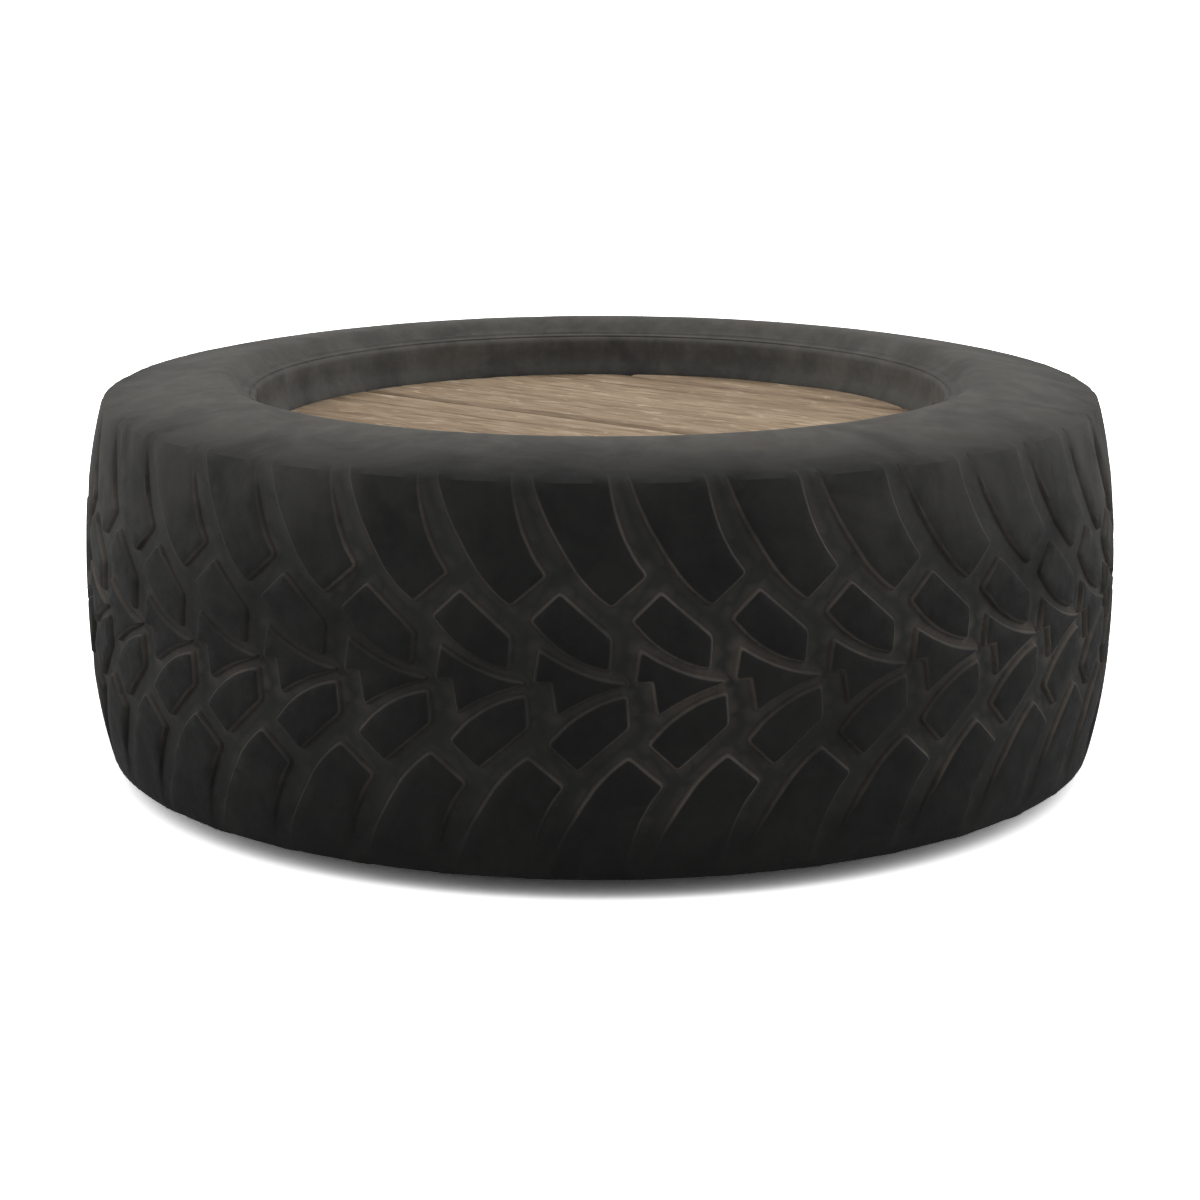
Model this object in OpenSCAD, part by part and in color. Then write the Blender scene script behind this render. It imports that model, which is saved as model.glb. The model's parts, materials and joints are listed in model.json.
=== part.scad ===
// A worn road tyre lying on its side, with a round board of four weathered planks wedged
// into its upper bead. Two battens under the board hold the planks, with screws from below.
// Origin: on the ground, at the middle of the tyre. +Z is up, along the tyre's axis.

/* [Tyre] */
// Outer diameter across the middle of the worn tread
tyre_d = 654; // [620:1:700]
// Width of the tyre from one sidewall's highest ring to the other's
section_w = 250; // [230:1:270]
// How much smaller the radius is at the tread's shoulders than in its middle
crown_drop = 13.1; // [8:0.1:18]
// How far each shoulder edge lies inside the sidewall's highest ring
shoulder_dip = 11.6; // [9:0.1:14]
// Diameter of each sidewall's highest ring, the one that the tyre lies on
crest_d = 488; // [478:1:500]
// Width of that ring's flat
crest_flat = 6; // [4:0.5:10]
// Thickness of the sidewalls at their highest ring
side_wall = 11; // [8:0.5:13]
// Thickness of the tread and belts over the hollow inside
tread_wall = 13; // [11:0.5:17]

/* [Beads] */
// Diameter of the two bead seats, where a rim would hold the tyre
rim_seat_d = 436.6; // [428:0.1:444]
// Length of the straight part of each bead seat
seat_l = 12; // [8:0.5:14]
// How far each bead seat starts inside the sidewall's highest ring
heel_dip = 15; // [13:0.5:18]
// Height of each bead's base, from the start of the seat to its toe
bead_h = 22; // [19:0.5:25]
// How far each toe reaches inwards past its seat
toe_reach = 4.9; // [3:0.1:7]

/* [Tread] */
// Number of times the tread pattern repeats around the tyre
pitches = 37; // [31:2:41]
// Depth of the grooves that are left in the worn tread
groove_depth = 4; // [2:0.5:6]
// Height of the pattern's arrow line above the middle of the tyre
arrow_rise = 3; // [-4:0.5:4]
// How far the lower half of the pattern is turned ahead of the upper half
half_shift = 9.5; // [0:0.5:14]

/* [Board] */
// Thickness of the planks
board_t = 20; // [16:1:26]
// How far the board's top lies below the sidewall's highest ring
board_drop = 36.5; // [35:0.5:37]
// Slope of the board's sawn edge
edge_slope = 11; // [6:1:16]
// Gap left between the board's edge and the bead's toe
edge_gap = 0.3; // [0.2:0.1:1]
// Width of a whole plank
plank_w = 167; // [155:1:175]
// Distance of the middle joint from the board's centre
joint_offset = 12; // [0:1:16]
// Width of the open joints between the planks
joint_gap = 1.6; // [1:0.2:3]
// Angle of the planks to the X axis
plank_turn = -38; // [-90:0.5:90]

/* [Battens] */
// Width of the two battens
batten_w = 40; // [34:1:46]
// Thickness of the battens
batten_t = 22; // [18:1:26]
// Distance between the middles of the two battens
batten_span = 120; // [100:1:130]
// How far the battens' ends stay inside the edge of the board's underside
batten_inset = 4; // [3:0.5:8]

/* [Screws] */
// Diameter of the screw shanks
screw_d = 4.5; // [3.5:0.5:5]
// Diameter of the countersunk heads
head_d = 8.8; // [8:0.1:10]
// Length of the screws, head included
screw_l = 36; // [32:1:38]
// Length of the screws' points
tip_l = 5; // [3:0.5:7]
// Distance from a wide plank's joint to the middle of its screws
screw_edge = 32; // [20:1:45]
// Gap around the screws in their holes
hole_gap = 0.15; // [0.1:0.05:0.3]
// How far the heads are sunk into the battens
head_sink = 0.4; // [0:0.1:1]

/* [Hidden] */
rubber = [0.16, 0.16, 0.155];
old_wood = [0.55, 0.48, 0.40];
steel = [0.45, 0.42, 0.40];
lathe_fn = 180;
small_fn = 32;
over = 1; // how far a cutting shape passes the surface it cuts

// ---- tyre ----
tyre_r = tyre_d / 2;
half_w = section_w / 2;
seat_r = rim_seat_d / 2;
crest_r = crest_d / 2;
shoulder_z = half_w - shoulder_dip;
shoulder_r = tyre_r - crown_drop;
liner_r = tyre_r - tread_wall;
liner_z = half_w - side_wall;
heel_z = half_w - heel_dip;
toe_r = seat_r - toe_reach;
toe_z = heel_z - bead_h;
crown_power = 2.4; // how square the tread's section is
crown_flat = 28; // half the width of the tread's level middle
shoulder_round = 3;
shoulder_end = [4.2, 0.9]; // how far in from the tread's edge and over it the shoulder's curve ends
buttress_aim = 3.6; // how far under the highest ring the buttress's curve aims
lip = [10, 5.3]; // the end of the lip's curve, out from the seat and up from its start
lip_aim = [15.7, 0.5]; // where that curve aims, out from the seat and under the highest ring
bead_face = [2.5, 4]; // the inner edge of the bead's face, out from the seat and up from its start
heel_round = 3;
toe_round = 3;
liner_aim = 15; // how far out from the seat the bead's inner face aims
liner_level = 6; // how far the sidewall's inner face stays level past the highest ring
belt_edge = [3, 2]; // where the hollow's outer corner aims, inside its radius and height
belt_dish = 1.2; // how much the hollow's radius shrinks towards the shoulders

function crown(z) =
  tyre_r - crown_drop * pow(min(abs(z), shoulder_z) / shoulder_z, crown_power);

// The points of a smooth curve from a to b that leaves and arrives in line with c
function curve(a, c, b, steps) = [
  for (i = [0:steps]) let (t = i / steps) (1 - t) * (1 - t) * a + 2 * t * (1 - t) * c + t * t * b
];

function upside_down(points) = [for (i = [len(points) - 1:-1:0]) [points[i][0], -points[i][1]]];
function tail(points) = [for (i = [1:len(points) - 1]) points[i]];
function last(points) = points[len(points) - 1];

// Half of the tyre's section, from the middle of the tread over the bead to the hollow's middle
crown_end = shoulder_z - shoulder_round;
crown_side = [
  [tyre_r, crown_flat],
  for (z = [0.55, 0.78, 1] * crown_end) [crown(z), z],
];
shoulder_side = curve(
  last(crown_side), [shoulder_r, shoulder_z],
  [shoulder_r - shoulder_end[0], shoulder_z + shoulder_end[1]], 3);
buttress_side = curve(
  last(shoulder_side), [(shoulder_r + crest_r) / 2, half_w - buttress_aim],
  [crest_r + crest_flat / 2, half_w], 4);
inner_side = curve(
  [crest_r - crest_flat / 2, half_w], [seat_r + lip_aim[0], half_w - lip_aim[1]],
  [seat_r + lip[0], heel_z + lip[1]], 5);
heel_side = curve(
  [seat_r, heel_z] + bead_face, [seat_r, heel_z + heel_round], [seat_r, heel_z], 3);
toe_side = curve(
  [toe_r, toe_z], [toe_r, toe_z - toe_round], [toe_r + toe_round, toe_z - toe_round], 2);
bead_liner = curve(
  last(toe_side), [seat_r + liner_aim, liner_z], [crest_r + liner_level, liner_z], 4);
shoulder_liner = curve(
  last(bead_liner), [liner_r - belt_edge[0], liner_z - belt_edge[1]],
  [liner_r - belt_dish, half_w / 2], 4);
upper_half = concat(
  crown_side, tail(shoulder_side), tail(buttress_side), inner_side, heel_side,
  [[seat_r, heel_z - seat_l]], toe_side, tail(bead_liner), tail(shoulder_liner));

// ---- tread ----
// The outlines below are drawn flat, in a cell as wide as one repeat of the pattern and as high
// as half the tread, and stretched to fit the tyre. Y is the height over the arrow line.
cell_w = 55.5;
cell_h = 113.8;
// Zigzag, cross and curved grooves around the middle blocks
centre_grooves = [
  [6, 42.5], [26, 59.5], [29, 67], [34, 67], [43.5, 59], [50.5, 51], [62.5, 43], [63.5, 25],
  [33.5, 50.5], [17, 35], [28, 23], [45, 11.5], [62, 6.5], [71, -0.5], [56, 2.5], [40, 8.5],
  [22, 19], [19, -0.5], [14.5, -0.5], [5.5, 6.5], [7, 25],
];
centre_mid = 38;
centre_slope = 2.2;
// The groove between two shoulder blocks, which runs out in the buttress
shoulder_groove = [
  [26, 59.5], [19, 69], [13, 81], [7, 102], [4, 122], [14, 122], [17, 110], [26.5, 87], [35.5, 72],
  [43.5, 59], [37, 53], [30, 54],
];
shoulder_mid = 24;
shoulder_start = 59;
shoulder_slope = 7.5;
front = -90; // the pattern is counted from the front of the tyre
turn_per_mm = 360 / (PI * tyre_d);
stretch = [PI * tyre_d / pitches / cell_w, shoulder_z / cell_h];
edge_sag = 1; // how far a flat groove floor lies under the round tread at its middle
cut_h = 20;

// ---- board ----
board_top = section_w - board_drop;
board_low = board_top - board_t;
toe_top = half_w + toe_z;
edge_rate = tan(edge_slope);
board_r = toe_r - edge_gap / cos(edge_slope) + (board_top - toe_top) * edge_rate;
board_low_r = board_r - board_t * edge_rate;
joints = [joint_offset + plank_w, joint_offset, joint_offset - plank_w];
plank_far = board_r + over;
plank_spans = [
  [joints[0] + joint_gap / 2, plank_far],
  [joints[1] + joint_gap / 2, joints[0] - joint_gap / 2],
  [joints[2] + joint_gap / 2, joints[1] - joint_gap / 2],
  [-plank_far, joints[2] - joint_gap / 2],
];
batten_low = board_low - batten_t;
batten_r = board_low_r - batten_inset;
batten_half = batten_span / 2;

// ---- screws ----
// An outer plank has one screw in each batten, midway between its joint and the battens' ends
batten_reach = sqrt(pow(batten_r, 2) - pow(batten_half, 2));
screw_rows = [
  (plank_spans[0][0] + batten_reach) / 2,
  joints[0] - screw_edge, joints[1] + screw_edge,
  joints[1] - screw_edge, joints[2] + screw_edge,
  (plank_spans[3][1] - batten_reach) / 2,
];
head_z = batten_low + head_sink;
head_h = (head_d - screw_d) / 2;
tip_r = 0.3;
slot_w = 1.1;
slot_l = 4.8;
slot_depth = 1.8;

module groove(turn, side, outline, middle, pivot, floor_r, slope)
  rotate([0, 0, front + turn + middle * stretch[0] * turn_per_mm])
    translate([floor_r, 0, half_w + arrow_rise + side * pivot * stretch[1]])
      rotate([0, -side * slope, 0]) rotate([90, 0, 90])
        linear_extrude(cut_h)
          polygon([
            for (p = outline)
              [(p[0] - middle) * stretch[0], side * (p[1] - pivot) * stretch[1]]
          ]);

function step_turn(i, side) = i * 360 / pitches + (side < 0 ? half_shift * turn_per_mm : 0);

module centre_ring(steps)
  for (i = steps, side = [1, -1])
    groove(step_turn(i, side), side, centre_grooves, centre_mid, 0,
      tyre_r - groove_depth - edge_sag, centre_slope);

module shoulder_ring()
  for (i = [0:pitches - 1], side = [1, -1])
    groove(step_turn(i, side), side, shoulder_groove, shoulder_mid, shoulder_start,
      crown(shoulder_start) - groove_depth - edge_sag / 2, shoulder_slope);

module tyre() color(rubber) difference() {
  translate([0, 0, half_w]) rotate_extrude($fn = lathe_fn)
    polygon(concat(upper_half, [[liner_r, 0]], upside_down(upper_half)));
  centre_ring([0:2:pitches - 3]);
  centre_ring([1:2:pitches - 2]);
  centre_ring([pitches - 1]);
  shoulder_ring();
}

module board_turned() rotate([0, 0, plank_turn]) children();

module screw_places(rows)
  for (x = [-batten_half, batten_half], y = rows) translate([x, y, head_z]) children();

// A screw standing on its head, or with a gap its hole
module screw_body(gap, length) {
  translate([0, 0, -over]) cylinder(r = head_d / 2 + gap, h = over, $fn = small_fn);
  cylinder(r1 = head_d / 2 + gap, r2 = screw_d / 2 + gap, h = head_h, $fn = small_fn);
  cylinder(r = screw_d / 2 + gap, h = length - tip_l, $fn = small_fn);
  translate([0, 0, length - tip_l])
    cylinder(r1 = screw_d / 2 + gap, r2 = tip_r + gap, h = tip_l, $fn = small_fn);
}

module plank(span, rows) board_turned() difference() {
  intersection() {
    translate([0, 0, board_low])
      cylinder(r1 = board_low_r, r2 = board_r, h = board_t, $fn = lathe_fn);
    translate([-plank_far, span[0], board_low - over])
      cube([2 * plank_far, span[1] - span[0], board_t + 2 * over]);
  }
  screw_places(rows) screw_body(hole_gap, screw_l + hole_gap);
}

module plank_1() color(old_wood) plank(plank_spans[0], [screw_rows[0]]);
module plank_2() color(old_wood) plank(plank_spans[1], [screw_rows[1], screw_rows[2]]);
module plank_3() color(old_wood) plank(plank_spans[2], [screw_rows[3], screw_rows[4]]);
module plank_4() color(old_wood) plank(plank_spans[3], [screw_rows[5]]);

module batten(x) color(old_wood) board_turned() difference() {
  intersection() {
    translate([x - batten_w / 2, -batten_r, batten_low]) cube([batten_w, 2 * batten_r, batten_t]);
    translate([0, 0, batten_low]) cylinder(r = batten_r, h = batten_t, $fn = lathe_fn);
  }
  screw_places(screw_rows) screw_body(hole_gap, screw_l);
}

module batten_1() batten(-batten_half);
module batten_2() batten(batten_half);

module screws() color(steel) board_turned() screw_places(screw_rows) difference() {
  intersection() {
    screw_body(0, screw_l);
    cylinder(r = head_d, h = screw_l);
  }
  for (turn = [0, 90]) rotate([0, 0, turn])
    translate([-slot_l / 2, -slot_w / 2, -over]) cube([slot_l, slot_w, slot_depth + over]);
}

tyre();
plank_1();
plank_2();
plank_3();
plank_4();
batten_1();
batten_2();
screws();
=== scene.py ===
"""A worn, dusty road tyre lying on its side, with a weathered plank board wedged in its bead.

The construction is drawn in millimetres, as on a drawing, and turned into metres when the
meshes are made. The tyre's section runs along a path: s is the length along the outer surface
from the middle of the tread, up the side and down into the bead, and below 0 it is the same on
the lower half. u runs around the tyre, from its front.
"""
import json
import math

import bpy
import numpy as np
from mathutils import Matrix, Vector, noise
from mathutils.geometry import delaunay_2d_cdt


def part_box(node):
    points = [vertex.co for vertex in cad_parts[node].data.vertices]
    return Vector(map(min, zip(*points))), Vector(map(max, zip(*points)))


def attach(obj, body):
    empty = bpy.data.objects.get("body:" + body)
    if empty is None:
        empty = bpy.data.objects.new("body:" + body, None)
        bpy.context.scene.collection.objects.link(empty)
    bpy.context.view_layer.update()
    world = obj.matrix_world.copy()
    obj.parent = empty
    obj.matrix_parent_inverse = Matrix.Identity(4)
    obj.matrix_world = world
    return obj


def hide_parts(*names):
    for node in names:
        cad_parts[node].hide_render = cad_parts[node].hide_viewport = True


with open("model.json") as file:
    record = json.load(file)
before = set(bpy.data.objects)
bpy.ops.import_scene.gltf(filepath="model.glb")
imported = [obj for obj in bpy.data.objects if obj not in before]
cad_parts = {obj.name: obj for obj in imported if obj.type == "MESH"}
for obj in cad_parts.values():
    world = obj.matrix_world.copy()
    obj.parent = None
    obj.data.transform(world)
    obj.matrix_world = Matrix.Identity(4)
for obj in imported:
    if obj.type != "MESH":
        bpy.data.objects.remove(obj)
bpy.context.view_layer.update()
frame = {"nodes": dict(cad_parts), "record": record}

MM = 0.001
FRONT = -math.pi / 2  # the tread pattern is counted from the front of the tyre

# ---- the tyre's driving sizes, in millimetres ----
TYRE_R = 327.0
CROWN_DROP = 13.1  # how much less the tread's radius is at its edge
CROWN_POWER = 2.4
SHOULDER_DIP = 11.6  # the tread's edge, under the top of the sidewall
SHOULDER_ROUND = 3.0
SHOULDER_END = (4.2, 0.9)  # the end of the round shoulder: in from its corner, and over it
BUTTRESS_FALL = 3.6  # the bend between the shoulder and the crest, under the crest
CREST_R = 244.0
CREST_FLAT = 6.0
LIP_BEND = (15.7, 0.5)  # the lip's bend: out from the seat, and under the crest
LIP_END = (10.0, 5.3)  # its end: out from the seat, and over the heel
LIP_FOOT = (2.5, 4.0)  # where the heel begins: out from the seat, and over the heel
SIDE_WALL = 11.0
TREAD_WALL = 13.0
HEEL_DIP = 15.0
HEEL_ROUND = 3.0
SEAT_LENGTH = 12.0
BEAD_HEIGHT = 22.0
TOE_REACH = 4.9
TOE_ROUND = 3.0
LINER_BEND = 15.0  # the liner's bend inside the bead, out from the seat
LINER_FLAT = 6.0  # where its flat top ends, out from the crest
LINER_CORNER = (3.0, 2.0)  # its bend under the shoulder: in from its radius, and down from its top
LINER_IN = (1.2, 0.3)  # how far in it lies at a half and at a quarter of the height

# How many straight steps each stretch of the section is made of
TREAD_STEPS, SHOULDER_STEPS, BUTTRESS_STEPS, LIP_STEPS = 40, 5, 24, 22
HEEL_STEPS, TOE_STEPS, LINER_STEPS, CORNER_STEPS = 5, 4, 6, 4
TAPER_SHARES = (0.35, 0.7, 1)

tyre_low, tyre_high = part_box("tyre")
HALF_W = (tyre_high[2] - tyre_low[2]) / 2 / MM
MIDDLE = (tyre_high[2] + tyre_low[2]) / 2 / MM
mounts = {m["name"]: m for m in frame["record"]["mounts"]}
SEAT_R = mounts["rim_seat"]["dims"]["r_mm"]
SHOULDER_Z = HALF_W - SHOULDER_DIP
SHOULDER_R = TYRE_R - CROWN_DROP
HEEL_Z = HALF_W - HEEL_DIP
SEAT_END = HEEL_Z - SEAT_LENGTH
TOE_R = SEAT_R - TOE_REACH
TOE_Z = HEEL_Z - BEAD_HEIGHT
LINER_R = TYRE_R - TREAD_WALL
LINER_Z = HALF_W - SIDE_WALL


def curve(a, c, b, steps):
    """Points of a smooth curve from a to b that leaves and arrives in line with c."""
    out = []
    for i in range(steps + 1):
        t = i / steps
        out.append(tuple((1 - t) ** 2 * p + 2 * t * (1 - t) * q + t * t * r for p, q, r in zip(a, c, b)))
    return out


def ramp(x, start, end):
    """0 up to start, 1 from end on, and smooth between them."""
    t = max(0.0, min(1.0, (x - start) / (end - start)))
    return t * t * (3 - 2 * t)


def crown(z):
    return TYRE_R - CROWN_DROP * (min(abs(z), SHOULDER_Z) / SHOULDER_Z) ** CROWN_POWER


def outer_section():
    """The upper half of the outer surface as (r, z): tread, shoulder, buttress and lip."""
    end = SHOULDER_Z - SHOULDER_ROUND
    tread = [(crown(end * i / TREAD_STEPS), end * i / TREAD_STEPS) for i in range(TREAD_STEPS + 1)]
    shoulder_end = (SHOULDER_R - SHOULDER_END[0], SHOULDER_Z + SHOULDER_END[1])
    shoulder = curve(tread[-1], (SHOULDER_R, SHOULDER_Z), shoulder_end, SHOULDER_STEPS)
    bend = ((SHOULDER_R + CREST_R) / 2, HALF_W - BUTTRESS_FALL)
    buttress = curve(shoulder[-1], bend, (CREST_R + CREST_FLAT / 2, HALF_W), BUTTRESS_STEPS)
    lip_bend = (SEAT_R + LIP_BEND[0], HALF_W - LIP_BEND[1])
    lip_end = (SEAT_R + LIP_END[0], HEEL_Z + LIP_END[1])
    lip = curve((CREST_R - CREST_FLAT / 2, HALF_W), lip_bend, lip_end, LIP_STEPS)
    foot = (SEAT_R + LIP_FOOT[0], HEEL_Z + LIP_FOOT[1])
    return tread + shoulder[1:] + buttress[1:] + lip + [foot]


def inner_section(foot):
    """The rest of the upper half, from the lip's foot: heel, seat, taper, toe and the hollow."""
    heel = curve(foot, (SEAT_R, HEEL_Z + HEEL_ROUND), (SEAT_R, HEEL_Z), HEEL_STEPS)
    seat = [(SEAT_R, HEEL_Z - SEAT_LENGTH / 2), (SEAT_R, SEAT_END)]
    taper = [(SEAT_R - TOE_REACH * t, SEAT_END + (TOE_Z - SEAT_END) * t) for t in TAPER_SHARES]
    toe_z = TOE_Z - TOE_ROUND
    toe = curve(taper[-1], (TOE_R, toe_z), (TOE_R + TOE_ROUND, toe_z), TOE_STEPS)
    liner = curve(toe[-1], (SEAT_R + LINER_BEND, LINER_Z), (CREST_R + LINER_FLAT, LINER_Z), LINER_STEPS)
    corner_bend = (LINER_R - LINER_CORNER[0], LINER_Z - LINER_CORNER[1])
    corner = curve(liner[-1], corner_bend, (LINER_R - LINER_IN[0], HALF_W / 2), CORNER_STEPS)
    wall = [(LINER_R - LINER_IN[1], HALF_W / 4)]
    return heel[1:] + seat + taper + toe[1:] + liner[1:] + corner[1:] + wall


OUTER = outer_section()
INNER = inner_section(OUTER[-1])
OUTER_S = np.concatenate([[0], np.cumsum([math.dist(a, b) for a, b in zip(OUTER, OUTER[1:])])])
OUTER_R = np.array([p[0] for p in OUTER])
OUTER_Z = np.array([p[1] for p in OUTER])
CREST_AT = TREAD_STEPS + SHOULDER_STEPS + BUTTRESS_STEPS  # from this point on the radius only falls
SLOPE_REACH = 1.5  # a surface's direction is taken over this much path either way


def on_section(s):
    """The outer surface at path length s: radius, height over the middle, and the outward direction."""
    side = 1 if s >= 0 else -1
    a = abs(s)
    reach = [max(a - SLOPE_REACH, 0), a, a + SLOPE_REACH]
    r_low, r, r_high = np.interp(reach, OUTER_S, OUTER_R)
    z_low, z, z_high = np.interp(reach, OUTER_S, OUTER_Z)
    dr, dz = r_high - r_low, z_high - z_low
    length = math.hypot(dr, dz)
    return r, side * z, dz / length, -side * dr / length


def around(u, r, z):
    """A point in metres, at u millimetres around from the front."""
    angle = FRONT + u / TYRE_R
    return (r * math.cos(angle) * MM, r * math.sin(angle) * MM, (MIDDLE + z) * MM)


# ---- the tread ----
PITCHES = 37
PITCH = 2 * math.pi * TYRE_R / PITCHES
DRAWN_PITCH = 55.5  # the pitch that the outlines below are drawn for
GROOVE = 3.3  # depth of the grooves, over the dirt that lies in them
ARROW_RISE = 3.0  # height of the arrow line over the middle
ARROW_GROOVE = 20.0  # within this of the arrow line the grooves are narrow, and full of pale dust
HALF_SHIFT = 9.5  # how far the lower half is turned ahead of the upper half
STEPS = 16  # straight steps of the plain surfaces in one pitch
RING_SIZE = STEPS * PITCHES
TREAD_END = 133.0  # the s at which the blocks' mesh meets the plain sidewall
GROOVE_FADE = (76.0, 121.0)  # the grooves run out between these distances from the arrow line

# Outlines of the blocks' walls on the flat, (u, distance from the arrow line)
SHOULDER_BLOCK = [
    (-41.5, 124), (-38.5, 110), (-34, 98), (-29, 87), (-20.3, 72), (-12, 59.2), (-5, 51.3), (0.5, 46.3),
    (6.3, 42), (26.3, 59.5), (19.3, 69), (13.3, 81), (9.5, 92), (7, 102), (5.5, 112), (4.5, 124)]
MIDDLE_BLOCK = [
    (17, 35), (33.5, 50.8), (62.3, 25.3), (61, 6.6), (53, 8.6), (45, 11.6), (36, 16.8), (27.5, 23.4)]
ARROW_HALF = [(19, -0.3), (22, 19.2), (31, 13.3), (40, 8.6), (48, 5.2), (56, 2.6), (64, 0.9), (70.5, 0.1)]
ARROW_TAIL = (19, 0.4)  # the notch in the arrow's tail, where its two halves meet
ARROW_TIP = 68.0  # the lower half has no point beyond this u, so that the arrow ends in one tip
# The line in the grooves where one pitch's mesh meets the next, for the upper half
SEAM = [
    (72.9, 0.1), (69.3, 5), (69.2, 14), (67.8, 27), (58, 37.6), (45, 49.2), (34.8, 60), (27.2, 72),
    (18.2, 89), (12.4, 106), (9.2, 122)]
SEAM_CROSSING = (76.2, -3.4)  # its first point under the arrow line
SEAM_STEP = 4.5
LOW_TURN = 3  # the lower end of the seam is this many steps ahead of the upper end

TOP, BEVEL, BASE, FLOOR = range(4)
# A block's outlines from the top down: how far in from its wall, how round its corners are, its kind
LOOPS = ((1.5, 1.6, TOP), (0.35, 2.4, BEVEL), (-0.8, 3.4, BASE))
LOOP_STEP = 4.2
INSET_SHARE = 0.4  # an outline moves in by this share of the block's width at most
MITRE_MOST = 2.0
MITRE_LEAST = 0.35  # keeps a sharp corner's mitre short
CORNER_SHARE = 0.42  # a rounded corner takes this share of an edge at most
ROUND_STEPS = 3
NEARLY_STRAIGHT = -0.85  # the cosine at a corner that needs no rounding
FAR_SIDE = 60.0
OWN_WALL = 0.6  # a wall nearer than this is the one that is measured from
END_SLACK = 0.01
TINY = 1e-9

# The points that fill the flat between the outlines
FILL_STEP = 6.5
FILL_ROW = 0.87  # rows are this share of a step apart
FILL_ROWS, FILL_COLUMNS = range(-21, 22), range(-16, 24)
FILL_CLEAR = 2.4  # how far they stay off every line
SAME_POINT = 1e-5


def mirrored(points):
    """An outline of the upper half, turned into its twin of the lower half."""
    return [(u + HALF_SHIFT, -v) for u, v in reversed(points)]


def placed(points):
    """From heights over the arrow line to path lengths, stretched to this pitch."""
    return [(u * PITCH / DRAWN_PITCH, v + ARROW_RISE) for u, v in points]


def neighbours(points):
    """Each point of a closed outline, with the one before it and the one after it."""
    vectors = [Vector(p) for p in points]
    return zip(vectors[-1:] + vectors[:-1], vectors, vectors[1:] + vectors[:1])


def sides(points):
    return zip(points, points[1:] + points[:1])


def rounded(points, cut, step):
    """A closed outline with its corners rounded and its long edges divided."""
    out = []
    for a, b, c in neighbours(points):
        back, ahead = a - b, c - b
        ahead_cut = min(cut, CORNER_SHARE * ahead.length)
        reach = min(cut, CORNER_SHARE * back.length, ahead_cut)
        p, q = b + back.normalized() * reach, b + ahead.normalized() * reach
        straight = back.normalized().dot(ahead.normalized()) <= NEARLY_STRAIGHT
        out += curve(p, b, q, 1 if straight else ROUND_STEPS)
        gap = ahead.length - reach - ahead_cut
        parts = max(1, round(gap / step))
        for k in range(1, parts):
            out.append(tuple(q.lerp(q + ahead.normalized() * gap, k / parts)))
    return [tuple(p) for p in out]


def area(points):
    return sum(a[0] * b[1] - b[0] * a[1] for a, b in sides(points)) / 2


def across(points, p, direction):
    """How far it is from p along direction to the outline's far side."""
    best = FAR_SIDE
    for a, b in sides(points):
        ex, ey = b[0] - a[0], b[1] - a[1]
        det = direction[0] * -ey + direction[1] * ex
        if abs(det) < TINY:
            continue
        ax, ay = a[0] - p[0], a[1] - p[1]
        t = (ax * -ey + ay * ex) / det
        k = (direction[0] * ay - direction[1] * ax) / det
        if t > OWN_WALL and -END_SLACK <= k <= 1 + END_SLACK:
            best = min(best, t)
    return best


def inset(points, depth):
    """The outline moved inwards by depth, or less where the block is narrow. Outwards if depth < 0."""
    turn = 1 if area(points) > 0 else -1
    out = []
    for a, b, c in neighbours(points):
        before, after = (b - a).normalized(), (c - b).normalized()
        first, second = (Vector((-d.y, d.x)) * turn for d in (before, after))
        mitre = (first + second) / max(1 + first.dot(second), MITRE_LEAST)
        if mitre.length > MITRE_MOST:
            mitre = mitre.normalized() * MITRE_MOST
        move = depth
        if depth > 0:
            move = min(depth, INSET_SHARE * across(points, b, mitre.normalized()))
        out.append(tuple(b + mitre * move))
    return out


def inside(points, p):
    hit = False
    for a, b in sides(points):
        if (a[1] > p[1]) != (b[1] > p[1]) and p[0] < (b[0] - a[0]) * (p[1] - a[1]) / (b[1] - a[1]) + a[0]:
            hit = not hit
    return hit


def divided(points, step):
    """An open line with points about a step apart."""
    out = [points[0]]
    for a, b in zip(points, points[1:]):
        parts = max(1, round(math.dist(a, b) / step))
        out += [tuple(p + (q - p) * k / parts for p, q in zip(a, b)) for k in range(1, parts + 1)]
    return out


def block_outlines():
    low_half = [(u, v) for u, v in mirrored(ARROW_HALF[1:-1]) if u < ARROW_TIP]
    arrow = ARROW_HALF + low_half + [(ARROW_TAIL[0] + HALF_SHIFT, ARROW_TAIL[1])]
    flats = [SHOULDER_BLOCK, mirrored(SHOULDER_BLOCK), MIDDLE_BLOCK, mirrored(MIDDLE_BLOCK), arrow]
    return [placed(f) for f in flats]


def seam():
    """The open line from the lower end of the tread mesh to its upper end, in the grooves."""
    end_u = SEAM[-1][0]
    upper = SEAM + [(end_u, TREAD_END - ARROW_RISE)]
    lower = [SEAM_CROSSING] + [(u + HALF_SHIFT, -v) for u, v in SEAM[2:]]
    lower += [(end_u + LOW_TURN * DRAWN_PITCH / STEPS, -TREAD_END - ARROW_RISE)]
    return divided(placed(list(reversed(lower)) + upper), SEAM_STEP)


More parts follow.
